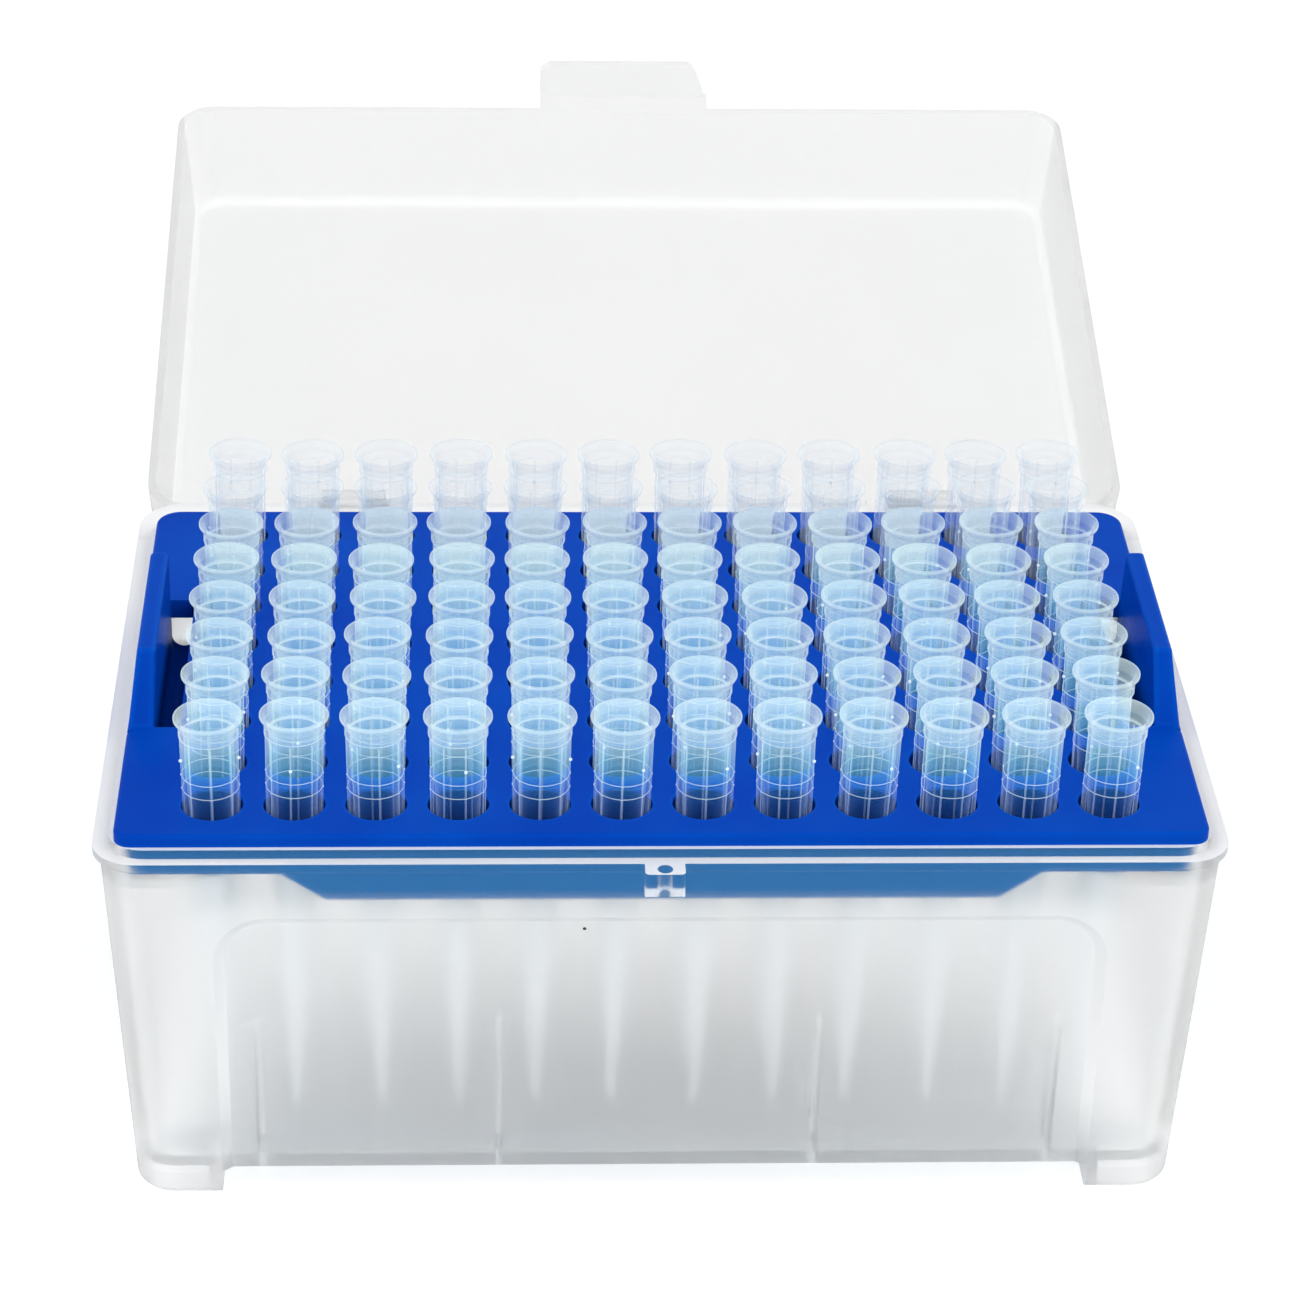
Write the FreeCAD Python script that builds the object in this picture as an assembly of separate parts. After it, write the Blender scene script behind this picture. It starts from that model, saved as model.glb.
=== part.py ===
import FreeCAD, Part
import math
import os

# Hinged box of pipette tips: a frosted base, a rack dropped into it, a tip in every socket of the
# rack, and a lid that lies open behind the base.
# All lengths are millimetres. The origin is on the table under the middle of the tip grid,
# +X runs along the long side, +Y to the hinge at the back and +Z up.

V = FreeCAD.Vector

# ---- tip grid ----
PITCH = 9.0                   # spacing of the tips both ways
COLUMNS = 12                  # along X
ROWS = 8                      # along Y

# ---- making ----
OVERCUT = 1.0                 # how far a cut runs past the face that it opens
SINK = 1.0                    # how far a rib or bracket is buried in the wall that carries it
LEAST_CORNER = 1.0            # upright corners inside a wall are no sharper than this

# ---- tip ----
RIM_RADIUS = 3.8              # flared lip at the mouth
RIM_HEIGHT = 0.4
FLARE_HEIGHT = 0.9
BAND_RADIUS = 3.3             # plain band under the flare
BAND_HEIGHT = 1.2
COLLAR_TOP_RADIUS = 3.2       # ribbed collar, over its ribs
COLLAR_BOTTOM_RADIUS = 3.1
COLLAR_LENGTH = 15.8          # from the lip to the shoulder that sits in the rack
MOUTH_RADIUS = 3.3
MOUTH_CHAMFER = 1.5
BORE_RADIUS = 2.72            # parallel part of the bore, which grips a pipette's cone
BORE_LENGTH = 6.5
BARREL_RADIUS = 2.7           # cone just under the shoulder
BARREL_LENGTH = 21.0          # from the shoulder to the slimmer end cone
NECK_RADIUS = 1.45
NECK_WALL = 0.45
TIP_LENGTH = 51.0
TIP_END_RADIUS = 0.45
ORIFICE_RADIUS = 0.22

# ---- rack ----
PLATE_MARGIN_X = 10.5         # from the outer tip centres to the plate's edge
PLATE_MARGIN_Y = 6.5
PLATE_LIP = 1.5               # thickness of the edge that rests on the base
PLATE_THICKNESS = 2.4         # thickness inside the base's wall
PLATE_FRONT_CORNER = 1.9
PLATE_BACK_CORNER = 3.0
PLATE_EDGE_ROUND = 0.45
HOLE_RADIUS = 3.43
SOCKET_DEPTH = 5.0            # from the plate's top to the ring that the shoulder sits on
SOCKET_RING_RADIUS = 2.85
SOCKET_RING_HEIGHT = 1.2
SOCKET_OUTER_RADIUS = 4.2
SKIRT_GAP = 0.3               # rack skirt to the base's inner wall, at the skirt's lowest edge
SKIRT_THICKNESS = 1.4
SKIRT_DEPTH = 5.3
SKIRT_DEEP_DEPTH = 8.7        # deeper stretch in the middle of the long sides
SKIRT_DEEP_HALF = 37.0
SKIRT_SLANT = 5.0
NOTCH_SIZE = 1.0              # small vee in the plate's edge at each end of a handle

# ---- rack handles, one upright at each end with a finger slot beside it ----
HANDLE_BASE_HALF = 15.2
HANDLE_TOP_HALF = 11.6
HANDLE_HEIGHT = 8.3
HANDLE_BASE_THICKNESS = 3.0
HANDLE_TOP_THICKNESS = 2.1
HANDLE_LEAN = 0.3             # its inner face leans this far over the slot at the top
HANDLE_ROUND = 0.5
FINGER_SLOT_WIDTH = 2.9
FINGER_SLOT_HALF = 14.9
FINGER_SLOT_DEPTH = 6.2       # to the floor of the trough under it, which is open at both ends
TROUGH_WALL = 1.2

# ---- base ----
BASE_HEIGHT = 47.3            # table to the top of the wall that carries the rack
WALL_REVEAL_X = 0.7           # wall top showing outside the plate
WALL_REVEAL_Y = 0.6
WALL_THICKNESS = 1.2          # over the ledge, where the wall's outside is stepped back
WALL_CORNER = 4.0
REBATE_DEPTH = 1.1            # wall top above the ledge that the lid closes on
FLANGE_REACH_X = 1.8          # flange beyond the wall
FLANGE_REACH_FRONT = 1.25
SHELF_REACH_BACK = 6.4        # the flange widens to a shelf at the hinge
FLANGE_THICKNESS = 0.9
FLANGE_BEVEL = 0.4
FLANGE_FRONT_CORNER = 5.0
FLANGE_BACK_CORNER = 6.0
BODY_STEP = 1.0               # body under the flange stands this far outside the wall
BODY_CORNER = 4.6
BODY_DRAFT = 2.9              # degrees
FLOOR_THICKNESS = 1.1
FOOT_HEIGHT = 3.3
FOOT_LENGTH = 9.9
FOOT_WALL = 1.5
FOOT_ROUND = 1.2

# ---- sunk panel on the front ----
PANEL_HALF = 49.5             # outside its sloping border
PANEL_TOP = 38.9
PANEL_BORDER = 1.2
PANEL_DEPTH = 1.0
PANEL_CORNER = 6.0

# ---- ribs between the floor and the long walls ----
GUSSET_X = (18.0, 45.0)
GUSSET_HEIGHT = 18.5
GUSSET_REACH = 5.0
GUSSET_TOE = 1.0              # height of the gusset's far end over the floor
GUSSET_THICKNESS = 1.0

# ---- webs inside the end walls that close the ends of the rack's troughs ----
STOP_THICKNESS = 1.0
STOP_LAP = 0.5                # past the trough's inner side
STOP_ARM = 2.4                # height of the arm that reaches the web from the wall
STOP_CLEARANCE = 0.2          # to the rack's skirt, and a quarter of it to the plate and the trough

# ---- catch block under the front flange ----
CATCH_WIDTH = 4.4
CATCH_REACH = 2.2
CATCH_HEIGHT = 3.1
CATCH_ROUND = 0.5
CATCH_HOLE_RADIUS = 0.85

# ---- lid ----
LID_HEADROOM = 2.7            # over the tips when shut
LID_THICKNESS = 1.0
LID_DRAFT = 3.0               # degrees
LID_CORNER = 4.8
LID_EDGE_ROUND = 2.5
LID_INSET = 0.1               # lid edge inside the flange's edge
LID_GAP = 0.3                 # shut lid to the ledge
LID_OPEN_ANGLE = 165.4

# ---- tab on the lid's front, which reaches down over the catch ----
TAB_LEFT = -11.4
TAB_RIGHT_ROOT = 12.3
TAB_RIGHT_TIP = 10.2
TAB_DROP = 5.5
TAB_THICKNESS = 1.0
TAB_CORNER = 1.8
TAB_GAP = 0.4                 # shut tab to the catch

# ---- hinge: a moulded pin between two brackets, and a clip on the lid ----
HINGE_X = 36.0
HINGE_BACK = 1.0              # axis behind the shelf's edge
HINGE_DROP = 1.0              # axis below the ledge
HINGE_PIN_RADIUS = 1.0
HINGE_CLEARANCE = 0.06
CLIP_RADIUS = 2.1
CLIP_WIDTH = 8.0
CLIP_SIDE_GAP = 0.4
CLIP_MOUTH = 1.7              # snap opening, narrower than the pin
CLIP_MOUTH_TURN = -45         # degrees from straight back, with the lid shut
CLIP_WEB_HEIGHT = 4.0
BRACKET_WIDTH = 2.6
BRACKET_STOP_LENGTH = 5.0
BRACKET_HEIGHT = 12.0
PIN_SINK = 0.5                # pin's ends buried in the brackets
STOP_START = 0.2              # stop face starts this far over the lid's edge
STOP_GAP = 0.3                # open lid to the brackets

# ---- sizes that follow ----
GRID_HALF_X = (COLUMNS - 1) * PITCH / 2
GRID_HALF_Y = (ROWS - 1) * PITCH / 2
PLATE_HALF_X = GRID_HALF_X + PLATE_MARGIN_X
PLATE_HALF_Y = GRID_HALF_Y + PLATE_MARGIN_Y
WALL_HALF_X = PLATE_HALF_X + WALL_REVEAL_X
WALL_HALF_Y = PLATE_HALF_Y + WALL_REVEAL_Y
INNER_HALF_X = WALL_HALF_X - WALL_THICKNESS
INNER_HALF_Y = WALL_HALF_Y - WALL_THICKNESS
FLANGE_HALF_X = WALL_HALF_X + FLANGE_REACH_X
FLANGE_FRONT = -WALL_HALF_Y - FLANGE_REACH_FRONT
SHELF_BACK = WALL_HALF_Y + SHELF_REACH_BACK

FLOOR_TOP = FOOT_HEIGHT + FLOOR_THICKNESS
LEDGE_Z = BASE_HEIGHT - REBATE_DEPTH
FLANGE_BOTTOM = LEDGE_Z - FLANGE_THICKNESS
BODY_TOP = FLANGE_BOTTOM - FLANGE_BEVEL
BODY_SLOPE = math.tan(math.radians(BODY_DRAFT))
PLATE_TOP = BASE_HEIGHT + PLATE_LIP
SHOULDER_Z = PLATE_TOP - SOCKET_DEPTH
RIM_Z = SHOULDER_Z + COLLAR_LENGTH

LID_RIM_Z = LEDGE_Z + LID_GAP
LID_TOP_Z = RIM_Z + LID_HEADROOM + LID_THICKNESS
LID_TAPER = (LID_TOP_Z - LID_RIM_Z) * math.tan(math.radians(LID_DRAFT))
LID_HALF_X = FLANGE_HALF_X - LID_INSET
LID_FRONT = FLANGE_FRONT + LID_INSET
LID_BACK = SHELF_BACK - LID_INSET
CATCH_FRONT = FLANGE_FRONT - CATCH_REACH
TAB_BACK = CATCH_FRONT - TAB_GAP
HINGE_Y = SHELF_BACK + HINGE_BACK
HINGE_Z = LEDGE_Z - HINGE_DROP


def outline(x_half, y_front, y_back, z, front_corner, back_corner):
    """Closed wire of a rectangle at height z with round front and back corners."""
    def arc(cx, cy, radius, start):
        steps = [math.radians(start + a) for a in (0, 45, 90)]
        return Part.Arc(*[V(cx + radius * math.cos(a), cy + radius * math.sin(a), z) for a in steps])
    corners = [arc(x_half - back_corner, y_back - back_corner, back_corner, 0),
               arc(back_corner - x_half, y_back - back_corner, back_corner, 90),
               arc(front_corner - x_half, y_front + front_corner, front_corner, 180),
               arc(x_half - front_corner, y_front + front_corner, front_corner, 270)]
    edges = []
    for corner, following in zip(corners, corners[1:] + corners[:1]):
        edges.append(corner.toShape())
        edges.append(Part.LineSegment(corner.EndPoint, following.StartPoint).toShape())
    return Part.Wire(edges)


def block(outline_size, z_low, z_high):
    """Upright prism on one outline: (x_half, y_front, y_back, front_corner, back_corner)."""
    x_half, front, back, front_corner, back_corner = outline_size
    wire = outline(x_half, front, back, z_low, front_corner, back_corner)
    return Part.Face(wire).extrude(V(0, 0, z_high - z_low))


def tapered_block(low_size, z_low, high_size, z_high):
    """Solid with straight sides between an outline at z_low and one at z_high."""
    wires = []
    for size, z in ((low_size, z_low), (high_size, z_high)):
        x_half, front, back, front_corner, back_corner = size
        wires.append(outline(x_half, front, back, z, front_corner, back_corner))
    return Part.makeLoft(wires, True, True)


def even(x_half, y_half, corner):
    """Outline size that is the same at the front and the back."""
    return x_half, -y_half, y_half, corner, corner


def edges_at(shape, z):
    """Edges of a shape that lie wholly at height z."""
    return [e for e in shape.Edges if abs(e.BoundBox.ZMin - z) < 1e-6 and abs(e.BoundBox.ZMax - z) < 1e-6]


def prism_x(points, x_low, x_high):
    """Prism along X on a polygon of (y, z) points."""
    corners = [V(x_low, y, z) for y, z in points]
    face = Part.Face(Part.makePolygon(corners + corners[:1]))
    return face.extrude(V(x_high - x_low, 0, 0))


def mirrored_pair(shape):
    """A shape and its mirror image across the middle of the long side."""
    return [shape, shape.mirror(V(0, 0, 0), V(1, 0, 0))]


def opened(shape):
    """A copy of a shape of the shut lid, turned about the hinge to where the lid lies open."""
    turned = shape.copy()
    turned.rotate(V(0, HINGE_Y, HINGE_Z), V(1, 0, 0), -LID_OPEN_ANGLE)
    return turned


def turned_point(y, z):
    """Where a (y, z) point of the shut lid comes to lie when the lid is open."""
    angle = math.radians(-LID_OPEN_ANGLE)
    dy, dz = y - HINGE_Y, z - HINGE_Z
    return (HINGE_Y + dy * math.cos(angle) - dz * math.sin(angle),
            HINGE_Z + dy * math.sin(angle) + dz * math.cos(angle))


# ---- tips ----

def make_tip():
    """One tip on the Z axis at its height in the box: a turned section, open at both ends."""
    flare_z = RIM_Z - RIM_HEIGHT
    band_z = flare_z - FLARE_HEIGHT
    collar_z = band_z - BAND_HEIGHT
    bore_z = RIM_Z - MOUTH_CHAMFER
    bore_end_z = bore_z - BORE_LENGTH
    neck_z = SHOULDER_Z - BARREL_LENGTH
    end_z = RIM_Z - TIP_LENGTH
    section = [(MOUTH_RADIUS, RIM_Z), (RIM_RADIUS, RIM_Z), (RIM_RADIUS, flare_z), (BAND_RADIUS, band_z),
               (BAND_RADIUS, collar_z), (COLLAR_TOP_RADIUS, collar_z), (COLLAR_BOTTOM_RADIUS, SHOULDER_Z),
               (BARREL_RADIUS, SHOULDER_Z), (NECK_RADIUS, neck_z), (TIP_END_RADIUS, end_z),
               (ORIFICE_RADIUS, end_z), (NECK_RADIUS - NECK_WALL, neck_z),
               (BARREL_RADIUS - NECK_WALL, SHOULDER_Z), (BORE_RADIUS, bore_end_z), (BORE_RADIUS, bore_z)]
    corners = [V(r, 0, z) for r, z in section]
    face = Part.Face(Part.makePolygon(corners + corners[:1]))
    return face.revolve(V(0, 0, 0), V(0, 0, 1), 360)


def grid_x(column):
    return (column - (COLUMNS - 1) / 2) * PITCH


def grid_y(row):
    return (row - (ROWS - 1) / 2) * PITCH


def tips_column(column):
    """The separate tips of one column, the group that a multichannel pipette picks up."""
    tip = make_tip()
    return Part.makeCompound([tip.translated(V(grid_x(column), grid_y(row), 0)) for row in range(ROWS)])


# ---- rack ----

def skirt_half(top_half):
    """Half size of the skirt's outside, clear of the drafted wall at the skirt's lowest edge."""
    lowest_z = PLATE_TOP - SKIRT_DEEP_DEPTH
    return top_half - SKIRT_GAP - BODY_SLOPE * max(0, BODY_TOP - lowest_z)


def rack_plate():
    """Top plate: a thin lip that rests on the base's wall and a thicker middle inside the wall."""
    size = (PLATE_HALF_X, -PLATE_HALF_Y, PLATE_HALF_Y, PLATE_FRONT_CORNER, PLATE_BACK_CORNER)
    lip = block(size, BASE_HEIGHT, PLATE_TOP)
    lip = lip.makeFillet(PLATE_EDGE_ROUND, edges_at(lip, PLATE_TOP))
    inner = even(skirt_half(INNER_HALF_X), skirt_half(INNER_HALF_Y), WALL_CORNER - WALL_THICKNESS)
    middle = block(inner, PLATE_TOP - PLATE_THICKNESS, BASE_HEIGHT)
    return lip.fuse(middle)


def rack_skirt():
    """Rim under the plate, deeper along the middle of each long side with slanted ends."""
    half_x, half_y = skirt_half(INNER_HALF_X), skirt_half(INNER_HALF_Y)
    corner = WALL_CORNER - WALL_THICKNESS
    top, low = PLATE_TOP - PLATE_LIP, PLATE_TOP - SKIRT_DEEP_DEPTH
    outer = block(even(half_x, half_y, corner), low, top)
    drawn_in = even(half_x - SKIRT_THICKNESS, half_y - SKIRT_THICKNESS, LEAST_CORNER)
    inner = block(drawn_in, low, top)
    wall = outer.cut(inner)
    shallow = PLATE_TOP - SKIRT_DEPTH
    slant_half = SKIRT_DEEP_HALF + SKIRT_SLANT
    reach = PLATE_HALF_Y
    kept = [(-PLATE_HALF_X, shallow), (-slant_half, shallow), (-SKIRT_DEEP_HALF, low),
            (SKIRT_DEEP_HALF, low), (slant_half, shallow), (PLATE_HALF_X, shallow),
            (PLATE_HALF_X, top), (-PLATE_HALF_X, top)]
    corners = [V(x, -reach, z) for x, z in kept]
    keeper = Part.Face(Part.makePolygon(corners + corners[:1])).extrude(V(0, 2 * reach, 0))
    return wall.common(keeper)


def socket_places():
    return [V(grid_x(column), grid_y(row), 0) for column in range(COLUMNS) for row in range(ROWS)]


def socket_tubes():
    """Outsides of the tubes under the plate, one for each tip."""
    bottom = SHOULDER_Z - SOCKET_RING_HEIGHT
    height = PLATE_TOP - PLATE_LIP - bottom
    starts = [place + V(0, 0, bottom) for place in socket_places()]
    return [Part.makeCylinder(SOCKET_OUTER_RADIUS, height, start) for start in starts]


def socket_bores():
    """Stepped holes: wide for the collar down to the ring, and narrower through it."""
    bores = []
    for place in socket_places():
        wide = Part.makeCylinder(HOLE_RADIUS, SOCKET_DEPTH + OVERCUT, place + V(0, 0, SHOULDER_Z))
        bottom = SHOULDER_Z - SOCKET_RING_HEIGHT - OVERCUT
        height = SHOULDER_Z + OVERCUT - bottom
        narrow = Part.makeCylinder(SOCKET_RING_RADIUS, height, place + V(0, 0, bottom))
        bores.append(wide.fuse(narrow))
    return Part.makeCompound(bores)


def handle():
    """Upright at the +X end: a tapering slab that leans inwards, with rounded upper edges."""
    outer_low = PLATE_HALF_X
    inner_low = outer_low - HANDLE_BASE_THICKNESS
    inner_high = inner_low - HANDLE_LEAN
    outer_high = inner_high + HANDLE_TOP_THICKNESS
    low_z = PLATE_TOP - PLATE_LIP / 2
    wires = []
    for x_in, x_out, half, z in ((inner_low, outer_low, HANDLE_BASE_HALF, low_z),
                                 (inner_high, outer_high, HANDLE_TOP_HALF, PLATE_TOP + HANDLE_HEIGHT)):
        corners = [V(x_in, -half, z), V(x_out, -half, z), V(x_out, half, z), V(x_in, half, z)]
        wires.append(Part.makePolygon(corners + corners[:1]))
    slab = Part.makeLoft(wires, True, True)
    rounded = [e for e in slab.Edges if e.BoundBox.ZMax > PLATE_TOP + HANDLE_HEIGHT / 2]
    return slab.makeFillet(HANDLE_ROUND, rounded)


def finger_trough():
    """Block under the +X finger slot; the slot runs out through both of its ends below the plate."""
    x_high = PLATE_HALF_X - HANDLE_BASE_THICKNESS
    x_low = x_high - FINGER_SLOT_WIDTH - TROUGH_WALL
    reach = skirt_half(INNER_HALF_X) - x_low
    low, high = PLATE_TOP - FINGER_SLOT_DEPTH - TROUGH_WALL, BASE_HEIGHT
    return Part.makeBox(reach, 2 * FINGER_SLOT_HALF, high - low, V(x_low, -FINGER_SLOT_HALF, low))


def finger_slot():
    """Slot through the plate on the inner side of the +X handle, and its round-bottomed trough."""
    x_high = PLATE_HALF_X - HANDLE_BASE_THICKNESS
    x_low, radius = x_high - FINGER_SLOT_WIDTH, FINGER_SLOT_WIDTH / 2
    low, underside = PLATE_TOP - FINGER_SLOT_DEPTH, PLATE_TOP - PLATE_THICKNESS
    mouth = Part.makeBox(FINGER_SLOT_WIDTH, 2 * FINGER_SLOT_HALF, PLATE_TOP + OVERCUT - underside,
                         V(x_low, -FINGER_SLOT_HALF, underside))
    length, start = 2 * (FINGER_SLOT_HALF + OVERCUT), -FINGER_SLOT_HALF - OVERCUT
    bottom = Part.makeCylinder(radius, length, V(x_low + radius, start, low + radius), V(0, 1, 0))
    sides = Part.makeBox(FINGER_SLOT_WIDTH, length, underside - low - radius, V(x_low, start, low + radius))
    return mouth.fuse([bottom, sides])


def edge_notches():
    """Upright vee cuts in the plate's +X edge just beyond the ends of the handle."""
    cuts = []
    for side in (-1, 1):
        y = side * (HANDLE_BASE_HALF + NOTCH_SIZE / 2)
        low = BASE_HEIGHT - OVERCUT
        points = [V(PLATE_HALF_X + OVERCUT, y - NOTCH_SIZE, low),
                  V(PLATE_HALF_X - NOTCH_SIZE, y, low),
                  V(PLATE_HALF_X + OVERCUT, y + NOTCH_SIZE, low)]
        face = Part.Face(Part.makePolygon(points + points[:1]))
        cuts.append(face.extrude(V(0, 0, PLATE_LIP + 2 * OVERCUT)))
    return cuts


def make_rack():
    solids = [rack_skirt()] + socket_tubes() + mirrored_pair(handle()) + mirrored_pair(finger_trough())
    rack = rack_plate().fuse(solids)
    slots = mirrored_pair(finger_slot())
    notches = [copy for notch in edge_notches() for copy in mirrored_pair(notch)]
    return rack.cut([socket_bores()] + slots + notches).removeSplitter()


# ---- base ----

def body_size(z, inset):
    """Outline of the drafted body at height z, drawn in by inset."""
    draw_in = BODY_SLOPE * (BODY_TOP - z) + inset
    corner = max(BODY_CORNER - inset, LEAST_CORNER)
    return even(WALL_HALF_X + BODY_STEP - draw_in, WALL_HALF_Y + BODY_STEP - draw_in, corner)


def base_outside():
    """Drafted body, bevelled flange, hinge shelf and the upright wall over the ledge."""
    body = tapered_block(body_size(0, 0), 0, body_size(BODY_TOP, 0), BODY_TOP)
    body = body.makeFillet(FOOT_ROUND, edges_at(body, 0))
    flange_half_y = -FLANGE_FRONT
    rim = even(FLANGE_HALF_X, flange_half_y, FLANGE_FRONT_CORNER)
    bevel = tapered_block(body_size(BODY_TOP, 0), BODY_TOP, rim, FLANGE_BOTTOM)
    shelf_size = (FLANGE_HALF_X, FLANGE_FRONT, SHELF_BACK, FLANGE_FRONT_CORNER, FLANGE_BACK_CORNER)
    shelf = block(shelf_size, FLANGE_BOTTOM, LEDGE_Z)
    wall = block(even(WALL_HALF_X, WALL_HALF_Y, WALL_CORNER), LEDGE_Z, BASE_HEIGHT)
    return body.fuse([bevel, shelf, wall])


def base_inside():
    """Hollow of the base, upright at the top and drafted like the outside below the flange."""
    corner = WALL_CORNER - WALL_THICKNESS
    upper = even(INNER_HALF_X, INNER_HALF_Y, corner)
    draw_in = BODY_SLOPE * (BODY_TOP - FLOOR_TOP)
    lower = even(INNER_HALF_X - draw_in, INNER_HALF_Y - draw_in, corner)
    below = tapered_block(lower, FLOOR_TOP, upper, BODY_TOP)
    above = block(upper, BODY_TOP, BASE_HEIGHT + OVERCUT)
    return below.fuse(above)


def inner_half_y(z):
    return INNER_HALF_Y - BODY_SLOPE * (BODY_TOP - z)


def foot_gaps():
    """Space under the floor between the feet, lengthwise, crosswise and as one cut."""
    inner_x = body_size(0, FOOT_LENGTH)[0]
    inner_y = body_size(0, FOOT_LENGTH)[2]
    reach = FLANGE_HALF_X + SHELF_BACK
    lengthwise = Part.makeBox(2 * reach, 2 * inner_y, FOOT_HEIGHT, V(-reach, -inner_y, 0))
    crosswise = Part.makeBox(2 * inner_x, 2 * reach, FOOT_HEIGHT, V(-inner_x, -reach, 0))
    return lengthwise.fuse(crosswise)


def foot_cores():
    """Hollows that leave a thin ring of wall in each foot."""
    size = body_size(0, FOOT_WALL)
    inner_x = body_size(0, FOOT_LENGTH - FOOT_WALL)[0]
    inner_y = body_size(0, FOOT_LENGTH - FOOT_WALL)[2]
    whole = block(size, -OVERCUT, FOOT_HEIGHT)
    reach = FLANGE_HALF_X
    height = FOOT_HEIGHT + 2 * OVERCUT
    keep = [Part.makeBox(2 * reach, 2 * inner_y, height, V(-reach, -inner_y, -OVERCUT)),
            Part.makeBox(2 * inner_x, 2 * reach, height, V(-inner_x, -reach, -OVERCUT))]
    return whole.cut(keep)


def panel_outline(inset, depth):
    """Panel's border on an upright plane: round upper corners, running out below the floor."""
    half, top, corner = PANEL_HALF - inset, PANEL_TOP - inset, PANEL_CORNER - inset
    low = -OVERCUT
    bend = corner * (1 - math.sqrt(0.5))
    left_arc = Part.Arc(V(-half, depth, top - corner), V(-half + bend, depth, top - bend),
                        V(-half + corner, depth, top))
    right_arc = Part.Arc(V(half - corner, depth, top), V(half - bend, depth, top - bend),
                         V(half, depth, top - corner))
    edges = [Part.LineSegment(V(-half, depth, low), left_arc.StartPoint), left_arc,
             Part.LineSegment(left_arc.EndPoint, right_arc.StartPoint), right_arc,
             Part.LineSegment(right_arc.EndPoint, V(half, depth, low)),
             Part.LineSegment(V(half, depth, low), V(-half, depth, low))]
    return Part.Wire([e.toShape() for e in edges])


def on_front_wall(shape, y_half_at_zero):
    """Leans a shape made on the upright plane Y = 0 to the front wall's draft."""
    placed = shape.copy()
    placed.rotate(V(0, 0, 0), V(1, 0, 0), BODY_DRAFT)
    placed.translate(V(0, -y_half_at_zero, 0))
    return placed


def panel_cut():
    """Sunk panel with a sloping border, opened outwards through the wall's face."""
    slope = Part.makeLoft([panel_outline(0, 0), panel_outline(PANEL_BORDER, PANEL_DEPTH)], True, True)
    front = Part.Face(panel_outline(0, 0)).extrude(V(0, -2 * OVERCUT, 0))
    return on_front_wall(slope.fuse(front), body_size(0, 0)[2])


def gussets():
    """Thin upright ribs that stiffen the long walls at the floor, between the columns of tips."""
    ribs = []
    foot, tip = FLOOR_TOP, FLOOR_TOP + GUSSET_HEIGHT
    for side in (-1, 1):
        wall_low, wall_high = inner_half_y(foot), inner_half_y(tip)
        points = [(side * (wall_low + SINK), foot - FLOOR_THICKNESS / 2),
                  (side * (wall_low - GUSSET_REACH), foot - FLOOR_THICKNESS / 2),
                  (side * (wall_low - GUSSET_REACH), foot + GUSSET_TOE),
                  (side * wall_high, tip), (side * (wall_high + SINK), tip)]
        for x in GUSSET_X:
            for centre in (-x, x):
                ribs.append(prism_x(points, centre - GUSSET_THICKNESS / 2, centre + GUSSET_THICKNESS / 2))
    return ribs


def catch_block():
    """Block under the middle of the front flange with an upright hole through it."""
    depth = CATCH_REACH + FLANGE_REACH_FRONT
    body = Part.makeBox(CATCH_WIDTH, depth, CATCH_HEIGHT,
                        V(-CATCH_WIDTH / 2, CATCH_FRONT, LEDGE_Z - CATCH_HEIGHT))
    low_front = [e for e in body.Edges if e.BoundBox.YMax < CATCH_FRONT + 1e-6
                 and e.BoundBox.ZMin < LEDGE_Z - 1e-6]
    return body.makeFillet(CATCH_ROUND, low_front)


def catch_hole():
    y = CATCH_FRONT + CATCH_REACH / 2
    return Part.makeCylinder(CATCH_HOLE_RADIUS, CATCH_HEIGHT + 2 * OVERCUT,
                             V(0, y, LEDGE_Z - CATCH_HEIGHT - OVERCUT))


def stop_edge():
    """Two (y, z) points of the line that the open lid's back face comes to rest along."""
    slope = math.tan(math.radians(LID_DRAFT))
    points = []
    for height in (STOP_START, BRACKET_STOP_LENGTH):
        points.append(turned_point(LID_BACK - height * slope + STOP_GAP, LID_RIM_Z + height))
    return points


def trough_stops():
    """Webs on the +X end wall that stand against the open ends of the rack's trough and close them.

    Each passes under the rack's skirt and rises inside it to the underside of the plate.
    """
    x_low = PLATE_HALF_X - HANDLE_BASE_THICKNESS - FINGER_SLOT_WIDTH - STOP_LAP
    x_rise = skirt_half(INNER_HALF_X) - SKIRT_THICKNESS - STOP_CLEARANCE
    x_wall = INNER_HALF_X + WALL_THICKNESS / 2
    step = PLATE_TOP - SKIRT_DEPTH - STOP_CLEARANCE
    top = PLATE_TOP - PLATE_THICKNESS - STOP_CLEARANCE / 4
    low = step - STOP_ARM
    points = [V(x_low, 0, low), V(x_wall, 0, low), V(x_wall, 0, step), V(x_rise, 0, step),
              V(x_rise, 0, top), V(x_low, 0, top)]
    face = Part.Face(Part.makePolygon(points + points[:1]))
    near = FINGER_SLOT_HALF + STOP_CLEARANCE / 4
    webs = []
    for start in (near, -near - STOP_THICKNESS):
        web = face.extrude(V(0, STOP_THICKNESS, 0))
        web.translate(V(0, start, 0))
        webs.append(web)
    return [copy for web in webs for copy in mirrored_pair(web)]


def hinge_bracket(x_low):
    """Upright bracket behind the shelf: it carries one end of a pin and stops the open lid."""
    stop_top, stop_low = stop_edge()
    wall_y = WALL_HALF_Y + BODY_STEP - SINK
    points = [(wall_y, LEDGE_Z), (HINGE_Y, LEDGE_Z), stop_top, stop_low, (wall_y, LEDGE_Z - BRACKET_HEIGHT)]
    return prism_x(points, x_low, x_low + BRACKET_WIDTH).cut(base_inside())


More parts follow.
